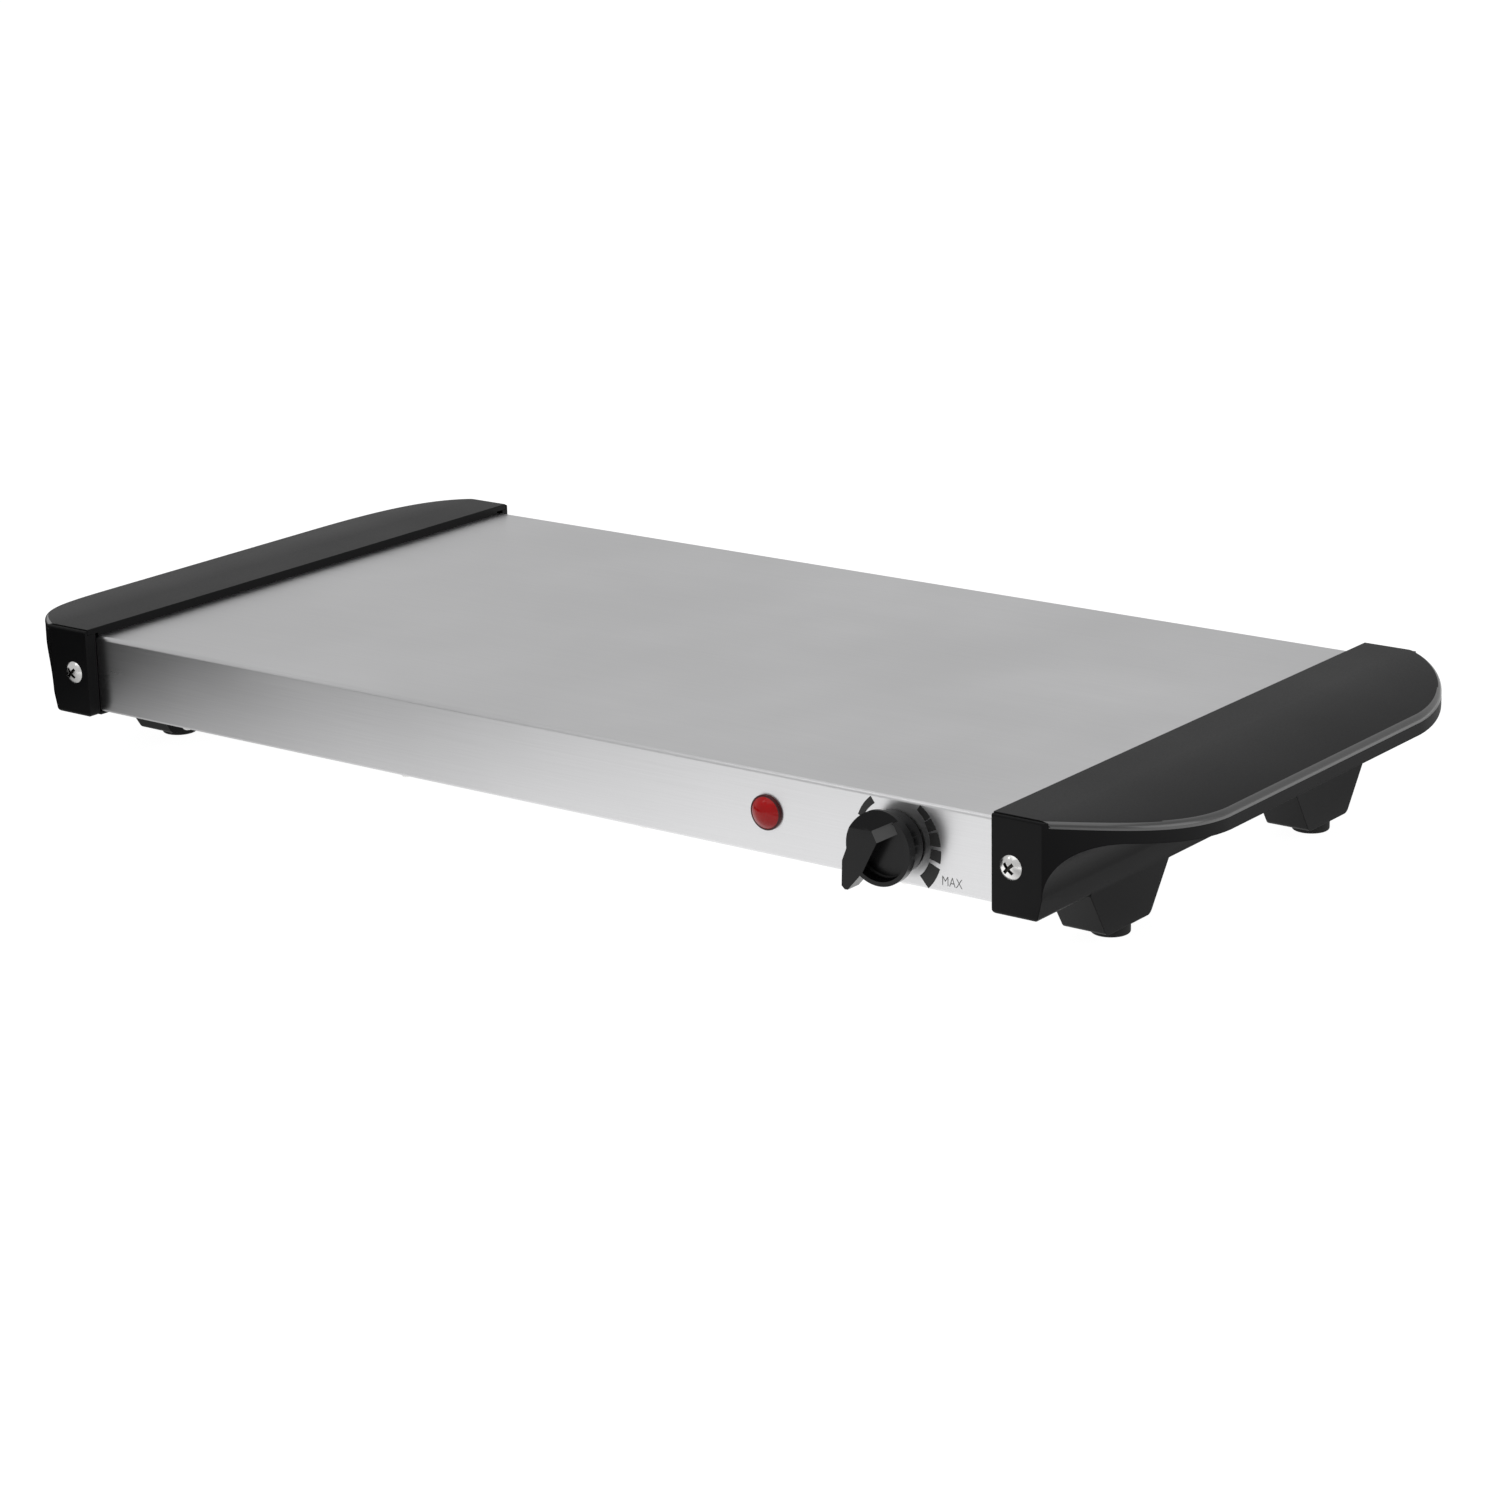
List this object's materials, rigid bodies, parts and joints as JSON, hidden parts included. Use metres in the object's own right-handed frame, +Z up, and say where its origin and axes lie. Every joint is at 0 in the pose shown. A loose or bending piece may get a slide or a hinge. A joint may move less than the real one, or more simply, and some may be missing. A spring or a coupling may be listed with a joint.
{
  "type": "electric food warmer tray",
  "caption": "Long flat warming tray with a brushed steel top, domed black end handles on splayed legs, a pointer knob and a red lamp on the front face.",
  "frame": {"origin": "on the table under the middle of the bounding box", "axes": "+X from the left handle to the right one, +Y from the front face with the knob to the rear, +Z up"},
  "size_m": [0.6648, 0.332, 0.0704],
  "materials": {
    "top_steel": "brushed along its length",
    "pan_steel": "plain plated sheet",
    "handle_plastic": "moulded, fine satin",
    "knob_plastic": "polished",
    "lens_plastic": "clear red, polished",
    "foot_rubber": "plain",
    "screw_steel": "nickel plated",
    "spreader_aluminium": "mill finish",
    "sheath_steel": "oxidised sheath",
    "white_ceramic": "unglazed",
    "lamp_glass": "clear",
    "glass_wool": "felted",
    "contact_brass": "plain",
    "spring_steel": "plain",
    "phenolic": "moulded",
    "white_plastic": "moulded",
    "gland_plastic": "moulded",
    "live_sleeve": "glass fibre sleeve",
    "neutral_sleeve": "glass fibre sleeve",
    "earth_sleeve": "glass fibre sleeve"
  },
  "bodies": {
    "tray": {"top_panel": "top_steel", "base_pan": "pan_steel", "base_screws": "screw_steel", "left_end_plate": "pan_steel", "right_end_plate": "pan_steel", "left_handle_base": "handle_plastic", "right_handle_base": "handle_plastic", "left_handle_cover": "handle_plastic", "right_handle_cover": "handle_plastic", "handle_screws": "screw_steel", "handle_nuts": "screw_steel", "cover_screws": "screw_steel", "front_left_foot": "foot_rubber", "front_right_foot": "foot_rubber", "rear_left_foot": "foot_rubber", "rear_right_foot": "foot_rubber", "foot_screws": "screw_steel", "heat_spreader": "spreader_aluminium", "spreader_nuts": "screw_steel", "heating_element": "sheath_steel", "element_insulators": "white_ceramic", "element_clamps": "spring_steel", "clamp_screws": "screw_steel", "insulation_pad": "glass_wool", "heat_shield": "pan_steel", "shield_screws": "screw_steel", "thermostat_bush": "contact_brass", "thermostat_nut": "contact_brass", "thermostat_body": "phenolic", "thermostat_bracket": "pan_steel", "bracket_screws": "screw_steel", "bimetal_blade": "spring_steel", "contact_blades": "contact_brass", "indicator_lens": "lens_plastic", "indicator_push_nut": "spring_steel", "indicator_holder": "white_plastic", "neon_lamp": "lamp_glass", "thermal_fuse": "spring_steel", "fuse_clip": "spring_steel", "fuse_screw": "screw_steel", "terminal_block": "white_plastic", "block_screws": "screw_steel", "terminal_screws": "contact_brass", "cord_gland": "gland_plastic", "earth_screw": "contact_brass", "live_wires": "live_sleeve", "neutral_wires": "neutral_sleeve", "earth_wire": "earth_sleeve"},
    "knob": {"control_knob": "knob_plastic", "knob_clip": "spring_steel", "thermostat_shaft": "spring_steel"}
  },
  "joints": [
    {"name": "knob_turn", "type": "hinge", "parent": "tray", "child": "knob", "pos_m": [0.211, -0.152, 0.0467], "axis": [0, 1, 0], "range_deg": [0, 262]}
  ]
}
